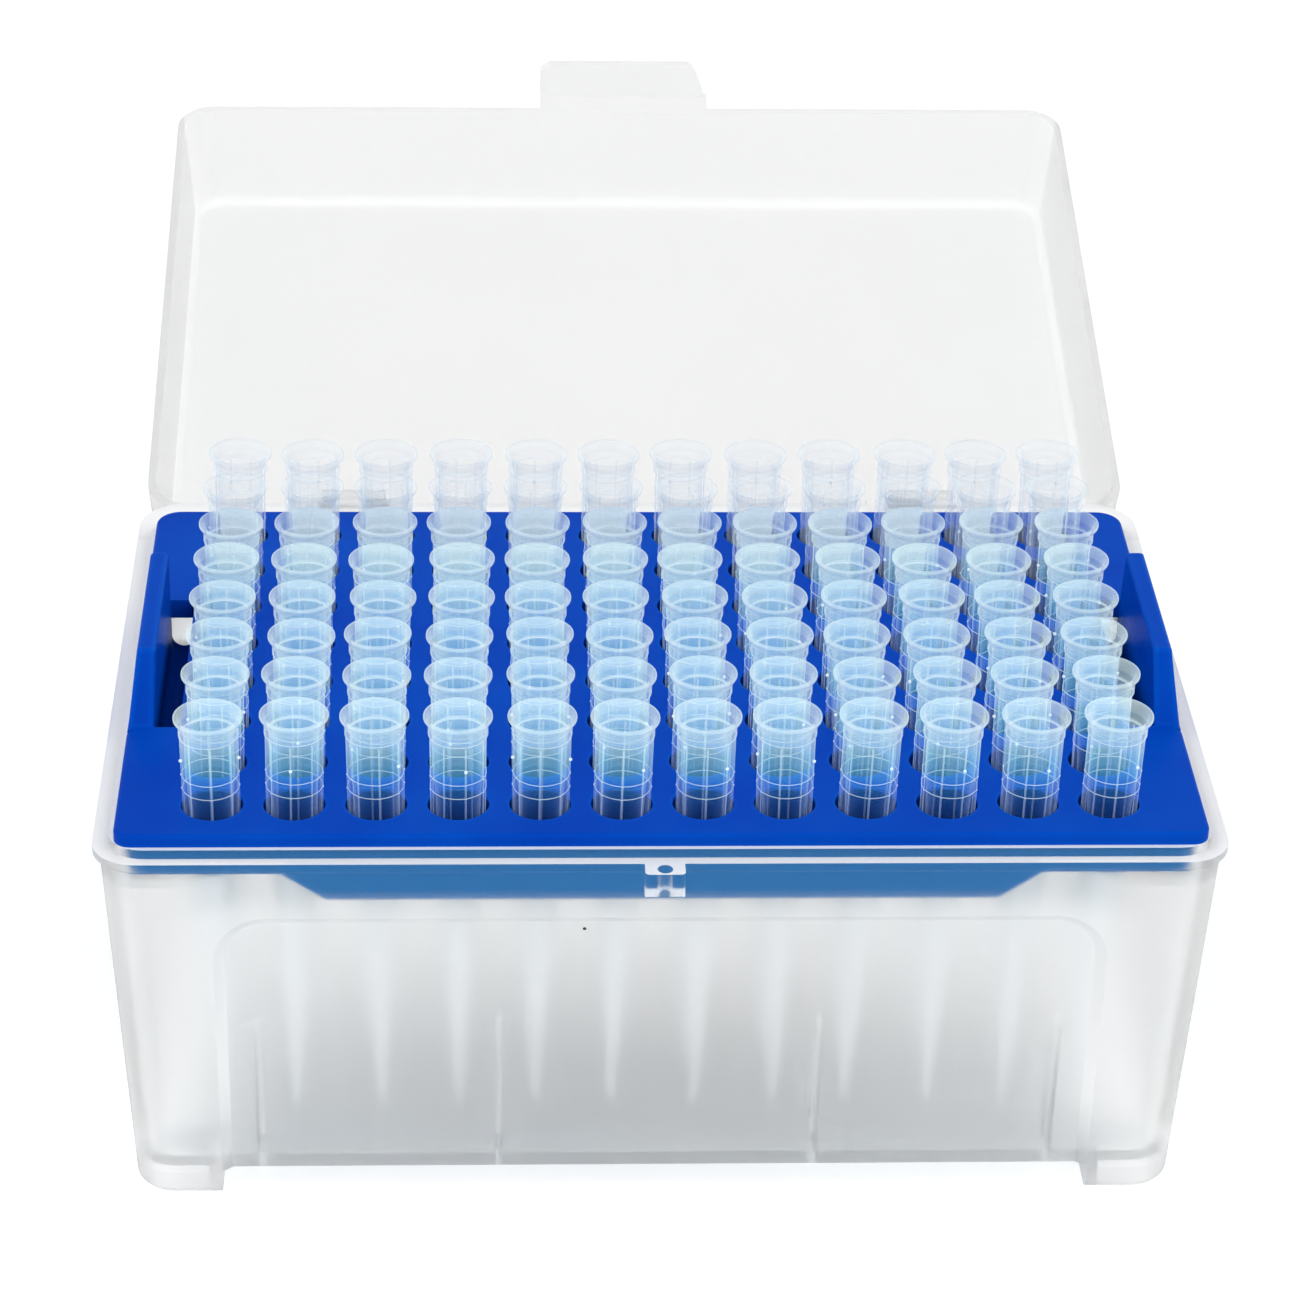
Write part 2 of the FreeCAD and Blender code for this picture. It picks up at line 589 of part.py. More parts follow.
def hinge_station():
    """The +X pair of brackets with the pin between them."""
    clip_gap = CLIP_WIDTH / 2 + CLIP_SIDE_GAP
    brackets = [hinge_bracket(HINGE_X + clip_gap), hinge_bracket(HINGE_X - clip_gap - BRACKET_WIDTH)]
    pin_half = clip_gap + PIN_SINK
    pin = Part.makeCylinder(HINGE_PIN_RADIUS, 2 * pin_half, V(HINGE_X - pin_half, HINGE_Y, HINGE_Z),
                            V(1, 0, 0))
    return [part for piece in brackets + [pin] for part in mirrored_pair(piece)]


def shelf_notch():
    """Opening in the shelf's back edge where the +X clip turns."""
    front = HINGE_Y - CLIP_RADIUS - CLIP_SIDE_GAP
    width = CLIP_WIDTH + 2 * CLIP_SIDE_GAP
    return Part.makeBox(width, SHELF_BACK - front + OVERCUT, FLANGE_THICKNESS + 2 * OVERCUT,
                        V(HINGE_X - width / 2, front, FLANGE_BOTTOM - OVERCUT))


def make_base():
    shell = base_outside().cut([base_inside(), foot_gaps(), foot_cores()])
    shell = shell.fuse([catch_block()] + gussets() + trough_stops())
    shell = shell.cut([panel_cut(), catch_hole()] + mirrored_pair(shelf_notch()))
    return shell.fuse(hinge_station()).removeSplitter()


# ---- lid, made shut and then opened ----

def lid_size(inset, height_share):
    """Outline of the lid drawn in by inset, at a share of the way from its rim to its top."""
    draw_in = inset + LID_TAPER * height_share
    corner = max(LID_CORNER - inset, LEAST_CORNER)
    return LID_HALF_X - draw_in, LID_FRONT + draw_in, LID_BACK - draw_in, corner, corner


def lid_shell():
    """Shallow drafted cover with rounded upper edges, open below."""
    outside = tapered_block(lid_size(0, 0), LID_RIM_Z, lid_size(0, 1), LID_TOP_Z)
    outside = outside.makeFillet(LID_EDGE_ROUND, edges_at(outside, LID_TOP_Z))
    ceiling = LID_TOP_Z - LID_THICKNESS
    share = (ceiling - LID_RIM_Z) / (LID_TOP_Z - LID_RIM_Z)
    inside = tapered_block(lid_size(LID_THICKNESS, 0), LID_RIM_Z, lid_size(LID_THICKNESS, share), ceiling)
    inside = inside.makeFillet(LID_EDGE_ROUND - LID_THICKNESS, edges_at(inside, ceiling))
    return outside.cut(inside)


def lid_tab():
    """Ledge stepped out from the front wall and a plate that hangs from it over the catch."""
    top, low = LID_RIM_Z + TAB_THICKNESS, LID_RIM_Z - TAB_DROP
    front = TAB_BACK - TAB_THICKNESS
    ledge = Part.makeBox(TAB_RIGHT_ROOT - TAB_LEFT, LID_FRONT + LID_THICKNESS / 2 - front, TAB_THICKNESS,
                         V(TAB_LEFT, front, LID_RIM_Z))
    corners = [V(TAB_LEFT, front, top), V(TAB_LEFT, front, low), V(TAB_RIGHT_TIP, front, low),
               V(TAB_RIGHT_ROOT, front, top)]
    plate = Part.Face(Part.makePolygon(corners + corners[:1])).extrude(V(0, TAB_THICKNESS, 0))
    low_corners = [e for e in plate.Edges if abs(e.BoundBox.ZMax - low) < 1e-6
                   and e.BoundBox.XLength < TAB_THICKNESS]
    return [ledge, plate.makeFillet(TAB_CORNER, low_corners)]


def clip():
    """The +X clip of the hinge, a split ring on a web that runs up the lid's back wall."""
    x_low = HINGE_X - CLIP_WIDTH / 2
    wall_y = LID_BACK - LID_THICKNESS / 2
    ring = Part.makeCylinder(CLIP_RADIUS, CLIP_WIDTH, V(x_low, HINGE_Y, HINGE_Z), V(1, 0, 0))
    web = prism_x([(wall_y, LID_RIM_Z), (HINGE_Y, HINGE_Z), (HINGE_Y + CLIP_RADIUS, HINGE_Z),
                   (wall_y, LID_RIM_Z + CLIP_WEB_HEIGHT)], x_low, x_low + CLIP_WIDTH)
    low, width = x_low - OVERCUT, CLIP_WIDTH + 2 * OVERCUT
    hole = Part.makeCylinder(HINGE_PIN_RADIUS + HINGE_CLEARANCE, width, V(low, HINGE_Y, HINGE_Z), V(1, 0, 0))
    mouth = Part.makeBox(width, 2 * CLIP_RADIUS, CLIP_MOUTH, V(low, HINGE_Y, HINGE_Z - CLIP_MOUTH / 2))
    mouth.rotate(V(0, HINGE_Y, HINGE_Z), V(1, 0, 0), CLIP_MOUTH_TURN)
    return ring.fuse(web), [hole, mouth]


def make_lid():
    solid, cuts = clip()
    clips = mirrored_pair(solid)
    mouths = [copy for cut in cuts for copy in mirrored_pair(cut)]
    lid = lid_shell().fuse(lid_tab() + clips).cut(mouths).removeSplitter()
    return opened(lid)


def write_step(name, shape):
    shape.exportStep(os.path.join("parts", name + ".step"))


os.makedirs("parts", exist_ok=True)
write_step("base", make_base())
write_step("rack", make_rack())
write_step("lid", make_lid())
for column in range(COLUMNS):
    write_step("tips_column_%02d" % (column + 1), tips_column(column))
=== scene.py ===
"""Looks of the hinged box of pipette tips: its finishes, its ribbed tips, the studio and the camera.

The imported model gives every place. Lengths are metres; names that end in _MM are millimetres.
"""
import math

import bpy
import numpy as np
from mathutils import Matrix, Vector


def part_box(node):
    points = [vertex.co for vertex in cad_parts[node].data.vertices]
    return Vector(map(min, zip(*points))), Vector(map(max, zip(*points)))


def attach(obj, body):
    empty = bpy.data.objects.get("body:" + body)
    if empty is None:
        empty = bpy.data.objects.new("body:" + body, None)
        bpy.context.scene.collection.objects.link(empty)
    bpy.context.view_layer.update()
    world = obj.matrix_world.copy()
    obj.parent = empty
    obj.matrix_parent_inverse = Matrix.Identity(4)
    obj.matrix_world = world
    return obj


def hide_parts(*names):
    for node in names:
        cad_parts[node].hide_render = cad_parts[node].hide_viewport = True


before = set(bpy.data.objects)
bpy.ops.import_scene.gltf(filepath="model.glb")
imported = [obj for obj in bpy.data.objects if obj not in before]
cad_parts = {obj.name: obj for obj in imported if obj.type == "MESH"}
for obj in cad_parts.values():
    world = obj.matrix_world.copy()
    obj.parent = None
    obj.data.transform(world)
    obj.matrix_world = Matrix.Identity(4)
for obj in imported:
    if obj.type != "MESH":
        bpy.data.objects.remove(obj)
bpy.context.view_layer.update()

MM = 0.001
CHANCE_SEED = 5

# ---- camera ----
CAMERA_PLACE = Vector((-0.0204, -0.4194, 0.2883))
CAMERA_HEADING = math.radians(-2.75)      # from +Y, turning left
CAMERA_TILT = math.radians(29.54)         # below the horizon
CAMERA_ROLL = math.radians(1.31)
CAMERA_REACH = 20                         # metres, past which nothing is drawn
LENS_MM = 114.48
SENSOR_MM = 36.0

# ---- studio ----
WORLD_LEVEL = 0.75                        # of the white surround, where it lights the box
LAMP_TARGET = Vector((0, 0, 0.045))       # the middle of the tips
LAMPS = (                                 # name, place, width, watts and colour
    ("front_lamp", (-0.1, -1.3, 0.3), 0.9, 2.0, (1, 1, 1)),
    ("left_lamp", (-0.9, -0.5, 0.9), 0.8, 5.0, (0.97, 0.985, 1.0)),
    ("right_lamp", (0.9, -0.4, 0.8), 0.8, 4.0, (1.0, 0.99, 0.97)),
)
WHITE = (1, 1, 1, 1)
FLOOR_HALF = 3.0
FLOOR_SHADE = (0.85, 0.85, 0.85, 1)
FLOOR_PAINTED_SHADOW_UNDER_BOX = (0.7, 0.7, 0.7, 1)  # painted shadow on the floor seen through the front wall, near its foot
FLOOR_GLOW_IN_VIEW = 0.3                  # added to the floor's own shade where it is looked at
FLOOR_GLOW_UNDER_BOX = 0.05               # and where it is seen through the box
UNDER_FRONT_MM = (-37.0, 0.0)             # from front to back, where the painted shadow fades out
UNDER_BOX_X_MM = (46.0, 56.0)             # from the middle, where the floor turns to plain white
UNDER_BOX_Y_MM = (37.0, 39.0)
UNDER_BOX_BACK_MM = (-10.0, 30.0)
MOST_BOUNCES = 8
MOST_DIFFUSE_BOUNCES = 2

# ---- shape of a tip ----
TIP_COLUMNS = 12
TIP_ROWS = 8
TIP_PROUD_MM = 0.6                        # the tips stand this far above their seats
COLLAR_START_MM = 2.5                     # the collar under the band, below the lip
COLLAR_END_MM = 15.8                      # the shoulder that sits in the rack
COLLAR_START_RADIUS_MM = 3.09
COLLAR_END_RADIUS_MM = 3.0
RIB_COUNT = 8                             # upright ribs round a tip's collar
RIB_WIDTH_MM = 0.28
RIB_FLAT = 0.55                           # share of a rib's width that is flat on top
RIB_REACH_MM = 0.12
RIB_RADIUS_MM = 3.1                       # at which a rib's width is measured
RING_DEPTHS_MM = (7.3, 9.0)               # fine raised rings, below the lip
RING_REACH_MM = 0.06
RING_WIDTH_MM = 0.15
PLAIN_STEPS = 5                           # steps round a tip between two ribs
PIP_DEPTH_MM = 5.6                        # small moulding pips on a tip's collar
PIP_RADIUS_MM = 0.2
PIP_OUT = 0.5                             # of its radius, from the collar to the pip's middle
PIP_POLE = 0.03                           # radians, left open as a tiny ring
PIP_ROWS = 7
PIP_TURNS = 8
LEAN_LIMIT = math.radians(1.0)
LEAN_ASIDE = math.radians(0.5)
LEAN_BACK = math.radians(0.5)
SHIFT_LIMIT_MM = 0.1
SHARP_DEGREES = 40
HIGHLIGHT_ATTRIBUTE = "painted_highlight"
RIB_PAINTED_HIGHLIGHT = 0.6                            # how bright the painted highlight along a rib is

# ---- finish of the tips; colours are linear ----
# (height over the table in mm, tint of the milkiness, share of light that it stops); from 44 mm up the blue
# tints are painted blue light from the rack, paling towards the lip
TIP_MILK_AND_PAINTED_BLUE_BY_HEIGHT = (
    (8.0, (0.95, 0.98, 1.0), 0.07),
    (24.0, (0.93, 0.97, 1.0), 0.13),
    (41.0, (0.85, 0.93, 0.97), 0.2),
    (44.0, (0.03, 0.22, 0.75), 0.04),
    (50.0, (0.03, 0.22, 0.85), 0.04),
    (52.1, (0.04, 0.42, 1.00), 0.06),
    (53.9, (0.15, 0.70, 0.98), 0.10),
    (55.6, (0.32, 0.78, 0.90), 0.12),
    (57.4, (0.58, 0.82, 0.86), 0.16),
    (59.6, (0.64, 0.84, 0.86), 0.17),
)
RAMP_TOP_MM = 60.0                        # height at the end of every such ramp
TIP_BEND = 1.49                           # index of refraction
# white of walls seen edge on, partly milk along the longer path and partly painted reflection, and of the
# painted highlights
TIP_EDGE_AND_HIGHLIGHT_WHITE = (0.78, 0.9, 0.95, 1)
TIP_EDGE_POWER = 2.5                      # how fast a wall whitens as it turns edge on
TIP_EDGE_MILK = 0.4                       # added where a wall is seen edge on
TIP_HIGHLIGHT_MILK = 0.45                      # added along the painted highlights on the ribs, rings and steps
TIP_BACK_MM = (12.0, 20.0)                # from front to back, where the rows turn fainter
TIP_BACK_MILK = 0.3                       # share of the milk left in the rows before the lid
TIP_BACK_CALM = 0.5                       # share of their painted highlights that goes
TIP_BACK_BLUE = (0.6, 0.74, 0.83, 1)
TIP_PAINTED_GLOW_MM = (44.0, 50.0)                # heights between which the painted glow comes up
TIP_PAINTED_GLOW_IN_RACK = 0.05
TIP_PAINTED_GLOW = 0.15                           # painted glow: light that the tips give out though they are no lamp
TIP_WALLS_SEEN = 7.5                      # walls looked through before the view stops
TIP_LAMP_SHARE = (0.985, 0.992, 1.0, 1)   # light that passes each thin wall
TIP_GRAIN = 1500.0
TIP_ROUGHNESS = (0.1, 0.2)

# ---- finish of base and lid ----
LAMP_SHARE = (0.9, 0.92, 0.94, 1)         # light that passes each clear wall unbent
FROST_CLOUDS = 35.0
FROST_GRAIN = 2600.0
FROST_ROUGHNESS_HALF = 0.05               # either side of a finish's own roughness
FROST_BUMP_MM = 0.02
BASE_WHITE = (0.985, 0.995, 1.0, 1)
BASE_CLOUD = (0.995, 1.0, 1.0, 1)
BASE_MILK_BY_HEIGHT = (
    (0.0, (1, 1, 1), 0.2),
    (3.0, (1, 1, 1), 0.2),
    (3.4, (1, 1, 1), 0.06),
    (9.0, (1, 1, 1), 0.08),
    (20.0, (1, 1, 1), 0.17),
    (38.0, (1, 1, 1), 0.26),
    (41.5, (1, 1, 1), 0.0),
)
BASE_END_MILK = 0.3                       # towards the ends of the long walls
BASE_END_X_MM = (47.0, 56.0)
BASE_END_Z_MM = (10.0, 35.0)
BASE_END_TOP_MM = 43.0
BASE_TOP_MILK = 0.75                      # on the wall's top and the ledge
BASE_TOP_MM = 40.0                        # over which they lie
FACES_UP = 0.6                            # upward share of a normal, from which a face looks up
GUSSET_MILK = 0.5
GUSSET_PLACES_MM = (18.0, 45.0)
GUSSET_HALF_MM = 0.35
GUSSET_END_MM = 36.4                      # from the middle, where a gusset meets its wall
GUSSET_TOP_MM = 24.0
SHELF_WHITE = (0.9, 0.905, 0.91, 1)       # the hinge shelf, and the feet
SHELF_FRONT_MM = 35.0
FEET_TOP_MM = 3.2
PANEL_FACE_MM = -37.5                     # behind the front panel's own face
SPECK_X_MM = -8.6                         # a dark moulding speck on the front panel
SPECK_Z_MM = 36.7
SPECK_RADIUS_MM = 0.2
SPECK_GREY = (0.05, 0.05, 0.05, 1)
LID_WHITE = (0.85, 0.85, 0.85, 1)
LID_CLOUD = (0.86, 0.86, 0.86, 1)
# painted light: the lid's walls are paler than its broad top, to even out their shade
LID_WALL_PAINTED_LIGHT_WHITE = (0.935, 0.935, 0.935, 1)
LID_TOP_FACING = (0.0, -0.252, 0.968)     # the broad top's own normal, with the lid open
LID_WALL_TURN = (0.8, 0.97)               # cosine to that normal, from the walls to the top

# ---- finish of the rack ----
RACK_BLUE = (0.0003, 0.045, 0.42, 1)
# lighter blue of the flow clouds, and of the painted glow on the edges
RACK_FLOW_AND_PAINTED_GLOW_BLUE = (0.002, 0.2, 0.85, 1)
# painted shade on the walls of the holes
HOLE_PAINTED_SHADE_BLUE = (0.0, 0.012, 0.13, 1)
SKIRT_PAINTED_GLOW_BLUE = (0.02, 0.14, 0.36, 1)        # the rack's thin rim, painted lighter for the light that passes it from inside
RACK_GLOSS = 0.015
RACK_CLOUDS = 60.0
RACK_CLOUD_SHARE = 0.12
RACK_GRAIN = 3000.0
RACK_ROUGHNESS = (0.3, 0.4)
RACK_BUMP_MM = 0.01
RIM_X_MM = 57.5                           # from the middle, where the hanging rim begins
RIM_Y_MM = 35.4
RIM_TOP_MM = 47.2
HOLES_X_MM = 54.5                         # from the middle, where the field of holes ends
HOLES_Y_MM = 34.5
HOLES_TOP_MM = 48.4
PLATE_FACE_MM = (48.9, 49.2)
PLATE_EDGE_SHARE = 0.15                   # of the painted edge glow, on the plate itself
EDGE_REACH_MM = 0.9
EDGE_TURN = (0.98, 0.75)                  # cosine between true and bevelled normal, flat to edge


def aim_camera():
    """Camera at its place, looking along its heading and tilt, then rolled about its own axis."""
    heading, tilt, roll = CAMERA_HEADING, CAMERA_TILT, CAMERA_ROLL
    level = math.cos(tilt)
    forward = Vector((-math.sin(heading) * level, math.cos(heading) * level, -math.sin(tilt)))
    level_right = Vector((math.cos(heading), math.sin(heading), 0))
    level_up = level_right.cross(forward)
    right = level_right * math.cos(roll) + level_up * math.sin(roll)
    up = level_up * math.cos(roll) - level_right * math.sin(roll)
    camera = bpy.data.objects.new("camera", bpy.data.cameras.new("camera"))
    camera.data.lens = LENS_MM
    camera.data.sensor_width = SENSOR_MM
    camera.data.clip_end = CAMERA_REACH
    turn = Matrix((right, up, -forward)).transposed().to_4x4()
    camera.matrix_world = Matrix.Translation(CAMERA_PLACE) @ turn
    bpy.context.scene.collection.objects.link(camera)
    bpy.context.scene.camera = camera


# ---- node helpers ----

def add_node(tree, kind, settings=None, **inputs):
    """A shader node with properties from settings and unlinked inputs by name (spaces as underscores)."""
    made = tree.nodes.new(kind)
    for name, value in (settings or {}).items():
        setattr(made, name, value)
    for name, value in inputs.items():
        made.inputs[name.replace("_", " ")].default_value = value
    return made


def new_material(name):
    """A material holding one principled shader, and that shader's node tree and node."""
    material = bpy.data.materials.new(name)
    material.use_nodes = True
    tree = material.node_tree
    return material, tree, tree.nodes["Principled BSDF"]


def feed(tree, value, socket):
    """Links a node's output to a socket, or sets a plain value on it."""
    if isinstance(value, bpy.types.NodeSocket):
        tree.links.new(value, socket)
    else:
        socket.default_value = value


def worked(tree, operation, first, *others):
    """A sum done on linked values or plain numbers by one Math node."""
    node = add_node(tree, "ShaderNodeMath", {"operation": operation})
    for value, socket in zip((first, *others), node.inputs):
        feed(tree, value, socket)
    return node.outputs[0]


def larger(tree, *values):
    """The largest of some values."""
    most = values[0]
    for value in values[1:]:
        most = worked(tree, "MAXIMUM", most, value)
    return most


def product(tree, *values):
    """Some values multiplied together; of 0 and 1 masks, where they all hold."""
    result = values[0]
    for value in values[1:]:
        result = worked(tree, "MULTIPLY", result, value)
    return result


def size(tree, value):
    """A value without its sign, which is a distance from the middle plane."""
    return worked(tree, "ABSOLUTE", value)


def past(tree, place, limit_mm):
    """1 where a place lies past a limit."""
    return worked(tree, "GREATER_THAN", place, limit_mm * MM)


def short_of(tree, place, limit_mm):
    """1 where a place lies short of a limit."""
    return worked(tree, "LESS_THAN", place, limit_mm * MM)


def ranged(tree, value, span, low, high):
    """Maps a linked value from one end of span to the other onto low to high, held at both ends."""
    start, end = span
    node = add_node(tree, "ShaderNodeMapRange", None, From_Min=start, From_Max=end, To_Min=low, To_Max=high)
    tree.links.new(value, node.inputs["Value"])
    return node.outputs["Result"]


def ranged_mm(tree, place, span_mm, low=0.0, high=1.0):
    """Maps a place from one end of span_mm to the other onto low to high, held at both ends."""
    return ranged(tree, place, [end * MM for end in span_mm], low, high)


def place_parts(tree):
    """The x, y and z of the piece's own place, in metres."""
    place = add_node(tree, "ShaderNodeTexCoord")
    split = add_node(tree, "ShaderNodeSeparateXYZ")
    tree.links.new(place.outputs["Object"], split.inputs[0])
    return split.outputs


def grain(tree, scale, detail=2.0):
    """Noise over the piece's own place, as a 0 to 1 value."""
    place = add_node(tree, "ShaderNodeTexCoord")
    noise = add_node(tree, "ShaderNodeTexNoise", Scale=scale, Detail=detail)
    tree.links.new(place.outputs["Object"], noise.inputs["Vector"])
    return noise.outputs["Fac"]


def spread(tree, noise, low, high):
    """Maps the usual middle of a noise onto the range low to high."""
    return ranged(tree, noise, (0.3, 0.7), low, high)


def mixed_colour(tree, factor, first, second):
    """Colour between first and second, each a plain colour or a node's output, by a linked factor."""
    mix = add_node(tree, "ShaderNodeMix", {"data_type": "RGBA"})
    feed(tree, first, mix.inputs[6])
    feed(tree, second, mix.inputs[7])
    tree.links.new(factor, mix.inputs[0])
    return mix.outputs[2]


def height_ramp(tree, stops):
    """Colour and share read from height over the table, through stops of (mm, colour, share)."""
    ramp = add_node(tree, "ShaderNodeValToRGB")
    elements = ramp.color_ramp.elements
    while len(elements) > 1:
        elements.remove(elements[-1])
    for index, (height, colour, amount) in enumerate(stops):
        stop = elements[0] if index == 0 else elements.new(height / RAMP_TOP_MM)
        stop.position = height / RAMP_TOP_MM
        stop.color = (*colour, amount)
    tree.links.new(worked(tree, "DIVIDE", place_parts(tree)[2], RAMP_TOP_MM * MM), ramp.inputs["Fac"])
    return ramp.outputs["Color"], ramp.outputs["Alpha"]


def bump(tree, shader, height, distance_mm, strength):
    """Feeds a linked height into a shader's normal."""
    relief = add_node(tree, "ShaderNodeBump", None, Strength=strength, Distance=distance_mm * MM)
    tree.links.new(height, relief.inputs["Height"])
    tree.links.new(relief.outputs["Normal"], shader.inputs["Normal"])


def cosine_to(tree, normal, other):
    """The cosine between a linked normal and another, linked or plain."""
    dot = add_node(tree, "ShaderNodeVectorMath", {"operation": "DOT_PRODUCT"})
    feed(tree, normal, dot.inputs[0])
    feed(tree, other, dot.inputs[1])
    return dot.outputs["Value"]


def mixed_shader(tree, factor, first, second):
    """Sends two shaders, mixed by a linked factor, to the material's surface."""
    mix = add_node(tree, "ShaderNodeMixShader")
    tree.links.new(factor, mix.inputs[0])
    tree.links.new(first, mix.inputs[1])
    tree.links.new(second, mix.inputs[2])
    tree.links.new(mix.outputs["Shader"], tree.nodes["Material Output"].inputs["Surface"])


# ---- frosted plastic of base and lid ----

def lets_lamps_through(tree, shader, share):
    """Lamp light passes the clear plastic unbent, so the inside of the box is lit as it is in air."""
    path = add_node(tree, "ShaderNodeLightPath")
    open_way = add_node(tree, "ShaderNodeBsdfTransparent", None, Color=share)
    mixed_shader(tree, path.outputs["Is Shadow Ray"], shader.outputs["BSDF"], open_way.outputs["BSDF"])


def frosted_plastic(name, colour, shade, roughness, clear, bend):
    """Milky moulded polypropylene: a rough see-through body under a fine matte grain."""
    material, tree, shader = new_material(name)
    shader.inputs["Transmission Weight"].default_value = clear
    shader.inputs["IOR"].default_value = bend
    clouds = spread(tree, grain(tree, FROST_CLOUDS), 0, 1)
    tree.links.new(mixed_colour(tree, clouds, colour, shade), shader.inputs["Base Color"])
    fine = grain(tree, FROST_GRAIN, detail=3.0)
    matte = spread(tree, fine, roughness - FROST_ROUGHNESS_HALF, roughness + FROST_ROUGHNESS_HALF)
    tree.links.new(matte, shader.inputs["Roughness"])
    bump(tree, shader, fine, FROST_BUMP_MM, 0.3)
    lets_lamps_through(tree, shader, LAMP_SHARE)
    return material, tree, shader


def lid_plastic():
    """Milky plastic, painted paler in the lid's walls than in its broad top, as painted light that evens
    out the shade on the walls.
    """
    material, tree, shader = frosted_plastic("frosted_lid_plastic", LID_WHITE, LID_CLOUD,
                                             roughness=0.6, clear=0.7, bend=1.12)
    own_normal = add_node(tree, "ShaderNodeTexCoord").outputs["Normal"]
    # painted light on the walls, picked by how far they turn from the broad top
    walls = ranged(tree, size(tree, cosine_to(tree, own_normal, LID_TOP_FACING)), LID_WALL_TURN, 1.0, 0.0)
    colour = shader.inputs["Base Color"]
    tree.links.new(mixed_colour(tree, walls, colour.links[0].from_socket, LID_WALL_PAINTED_LIGHT_WHITE), colour)
    return material


def gusset_faces(tree):
    """1 on the thin upright plates inside the long walls, which catch light along their edges."""
    x, y, z = place_parts(tree)
    across = size(tree, x)
    near = [worked(tree, "COMPARE", across, place * MM, GUSSET_HALF_MM * MM) for place in GUSSET_PLACES_MM]
    inside = short_of(tree, size(tree, y), GUSSET_END_MM)
    return product(tree, larger(tree, *near), inside, short_of(tree, z, GUSSET_TOP_MM))


def top_faces(tree):
    """1 on the wall's top and the ledge, where they look up."""
    facing = add_node(tree, "ShaderNodeSeparateXYZ")
    tree.links.new(add_node(tree, "ShaderNodeNewGeometry").outputs["True Normal"], facing.inputs[0])
    up = worked(tree, "GREATER_THAN", facing.outputs["Z"], FACES_UP)
    return product(tree, up, past(tree, place_parts(tree)[2], BASE_TOP_MM))


def wall_ends(tree):
    """Milk that grows towards the box's ends, under the rack's rim."""
    x, _, z = place_parts(tree)
    grown = ranged_mm(tree, size(tree, x), BASE_END_X_MM, high=BASE_END_MILK)
    return product(tree, grown, ranged_mm(tree, z, BASE_END_Z_MM), short_of(tree, z, BASE_END_TOP_MM))


def panel_speck(tree):
    """1 within a speck's radius on the front panel."""
    x, y, z = place_parts(tree)
    aside = worked(tree, "SUBTRACT", x, SPECK_X_MM * MM)
    above = worked(tree, "SUBTRACT", z, SPECK_Z_MM * MM)
    squares = worked(tree, "MULTIPLY_ADD", aside, aside, product(tree, above, above))
    near = worked(tree, "LESS_THAN", squares, (SPECK_RADIUS_MM * MM) ** 2)
    return product(tree, near, short_of(tree, y, PANEL_FACE_MM))


def shelf_and_feet(tree):
    """1 on the hinge shelf behind the box, and on its feet."""
    _, y, z = place_parts(tree)
    shelf = product(tree, past(tree, y, SHELF_FRONT_MM), past(tree, z, BASE_TOP_MM))
    return larger(tree, shelf, short_of(tree, z, FEET_TOP_MM))


def base_plastic():
    """Frosted plastic that is clear at the rack's rim and milkier at the feet, gussets and ledge."""
    material, tree, shader = frosted_plastic("frosted_base_plastic", BASE_WHITE, BASE_CLOUD,
                                             roughness=0.42, clear=1.0, bend=1.2)
    milk = larger(tree, height_ramp(tree, BASE_MILK_BY_HEIGHT)[1],
                  product(tree, top_faces(tree), BASE_TOP_MILK),
                  product(tree, gusset_faces(tree), GUSSET_MILK), wall_ends(tree))
    speck = panel_speck(tree)
    clear = worked(tree, "SUBTRACT", 1.0, larger(tree, milk, speck))
    tree.links.new(clear, shader.inputs["Transmission Weight"])
    colour = shader.inputs["Base Color"]
    white = mixed_colour(tree, shelf_and_feet(tree), colour.links[0].from_socket, SHELF_WHITE)
    tree.links.new(mixed_colour(tree, speck, white, SPECK_GREY), colour)
    return material


# ---- blue plastic of the rack ----

def rounded_edges(tree):
    """0 on flat faces and up to 1 along edges, from how far a bevelled normal turns away."""
    soft = add_node(tree, "ShaderNodeBevel", {"samples": 4}, Radius=EDGE_REACH_MM * MM)
    true = add_node(tree, "ShaderNodeNewGeometry")
    turned = cosine_to(tree, soft.outputs["Normal"], true.outputs["Normal"])
    return ranged(tree, turned, EDGE_TURN, 0, 1)


def painted_glow_rim(tree):
    """1 on the outer rim that hangs under the rack's plate, which is painted lighter as a painted glow."""
    x, y, z = place_parts(tree)
    outer = larger(tree, past(tree, size(tree, x), RIM_X_MM), past(tree, size(tree, y), RIM_Y_MM))
    return product(tree, outer, short_of(tree, z, RIM_TOP_MM))


def painted_shade_in_holes(tree):
    """1 below the face of the rack's plate, within the field of holes, where the holes' walls get painted
    shade.
    """
    x, y, z = place_parts(tree)
    along = short_of(tree, size(tree, x), HOLES_X_MM)
    across = short_of(tree, size(tree, y), HOLES_Y_MM)
    return product(tree, along, across, short_of(tree, z, HOLES_TOP_MM))


def above_plate(tree):
    """1 on the handles, which stand over the rack's plate, and a little on the plate itself, where edges
    get a painted glow.
    """
    return ranged_mm(tree, place_parts(tree)[2], PLATE_FACE_MM, low=PLATE_EDGE_SHARE)


